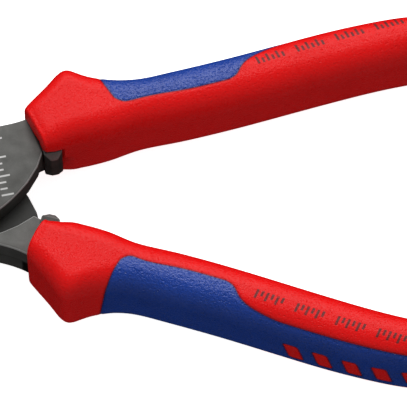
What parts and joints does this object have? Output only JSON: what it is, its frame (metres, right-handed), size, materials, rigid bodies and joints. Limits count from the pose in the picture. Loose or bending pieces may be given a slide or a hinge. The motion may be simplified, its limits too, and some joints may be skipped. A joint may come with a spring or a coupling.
{
  "type": "cable cutter",
  "caption": "Hand cable cutter with curved bypass jaws on a bolted lap joint, blackened forged levers and flared red and blue moulded grips, held part open.",
  "frame": {"origin": "on the pivot axis, at the centre of the flat face of the bolt head, which is the level the tool rests on when laid down with its nut up", "axes": "+X from the pivot toward the handle ends along the line that halves the angle between the handles, +Y toward the handle of the front lever, +Z along the pivot out of the front face, where the nut is"},
  "size_m": [0.16, 0.086, 0.02],
  "materials": {
    "forged_steel": "blackened, fine shot-blasted, satin",
    "joint_steel": "blackened turned steel, satin",
    "nylon": "natural nylon, matte",
    "grip_core": "hard moulded plastic, hidden",
    "grip_red": "moulded plastic, fine sandy texture",
    "grip_blue": "soft moulded elastomer, fine sandy texture"
  },
  "bodies": {
    "rear_lever": {"rear_blade_lever": "forged_steel", "rear_grip_core": "grip_core", "rear_grip_body": "grip_red", "rear_grip_inlay": "grip_blue", "pivot_bolt": "joint_steel", "rear_washer": "joint_steel", "front_washer": "joint_steel", "pivot_nut": "joint_steel", "lock_ring": "nylon"},
    "front_lever": {"front_blade_lever": "forged_steel", "front_grip_core": "grip_core", "front_grip_body": "grip_red", "front_grip_inlay": "grip_blue"}
  },
  "joints": [
    {"name": "jaw_pivot", "type": "hinge", "parent": "rear_lever", "child": "front_lever", "pos_m": [0, 0, 0.01], "axis": [0, 0, 1], "range_deg": [-26, 18]}
  ]
}
